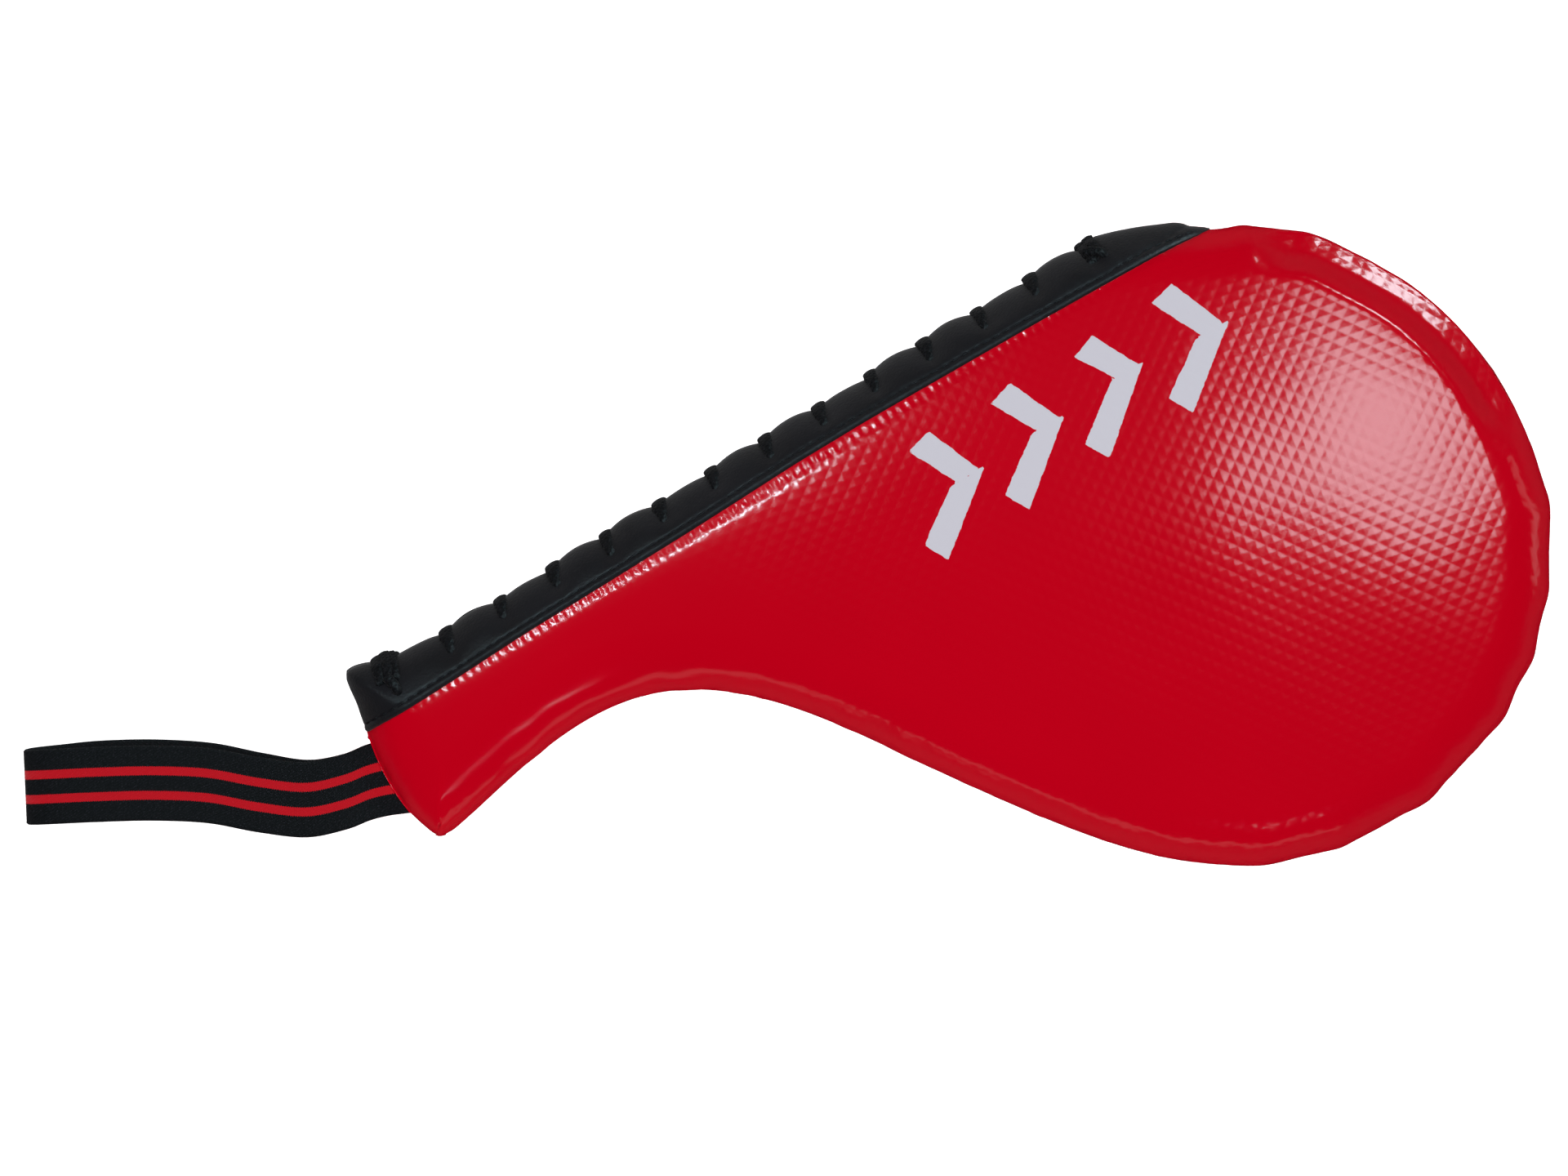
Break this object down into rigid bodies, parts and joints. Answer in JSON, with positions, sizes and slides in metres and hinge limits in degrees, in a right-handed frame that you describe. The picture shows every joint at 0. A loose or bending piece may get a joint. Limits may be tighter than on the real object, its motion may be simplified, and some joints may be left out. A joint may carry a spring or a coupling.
{
  "type": "kick paddle",
  "caption": "Hand-held kick target: round padded head on a curved handle, laced cover and an elastic wrist loop that swings at the handle's end.",
  "frame": {"origin": "under the centre of the round head, on the back face that the paddle lies on", "axes": "+X from the handle to the head, +Y towards the laced edge, +Z out of the struck front face"},
  "size_m": [0.5155, 0.2163, 0.04],
  "materials": {
    "red_vinyl": "glossy embossed PVC",
    "black_leatherette": "satin grain",
    "black_thread": "twisted",
    "red_thread": "twisted",
    "braided_cord": "braided",
    "elastic_webbing": "woven elastic with two red lines",
    "foam": "closed cell",
    "eva": "matte",
    "fibre_board": "pressed"
  },
  "bodies": {
    "paddle": {"front_panel": "red_vinyl", "back_panel": "red_vinyl", "front_lacing_strip": "black_leatherette", "back_lacing_strip": "black_leatherette", "front_hem_stitch": "black_thread", "back_hem_stitch": "black_thread", "rim_seam_stitch": "red_thread", "lacing_cord": "braided_cord", "lacing_knot_butt": "braided_cord", "lacing_knot_head": "braided_cord", "strap_root": "elastic_webbing", "strap_bartack": "black_thread", "core_board": "fibre_board", "front_eva_sheet": "eva", "back_eva_sheet": "eva", "front_head_foam": "foam", "back_head_foam": "foam", "front_grip_foam": "foam", "back_grip_foam": "foam"},
    "strap": {"wrist_strap": "elastic_webbing"}
  },
  "joints": [
    {"name": "strap_swing", "type": "hinge", "parent": "paddle", "child": "strap", "pos_m": [-0.2935, -0.0075, 0.02], "axis": [-0.1668, 0.986, 0], "range_deg": [0, 95]}
  ]
}
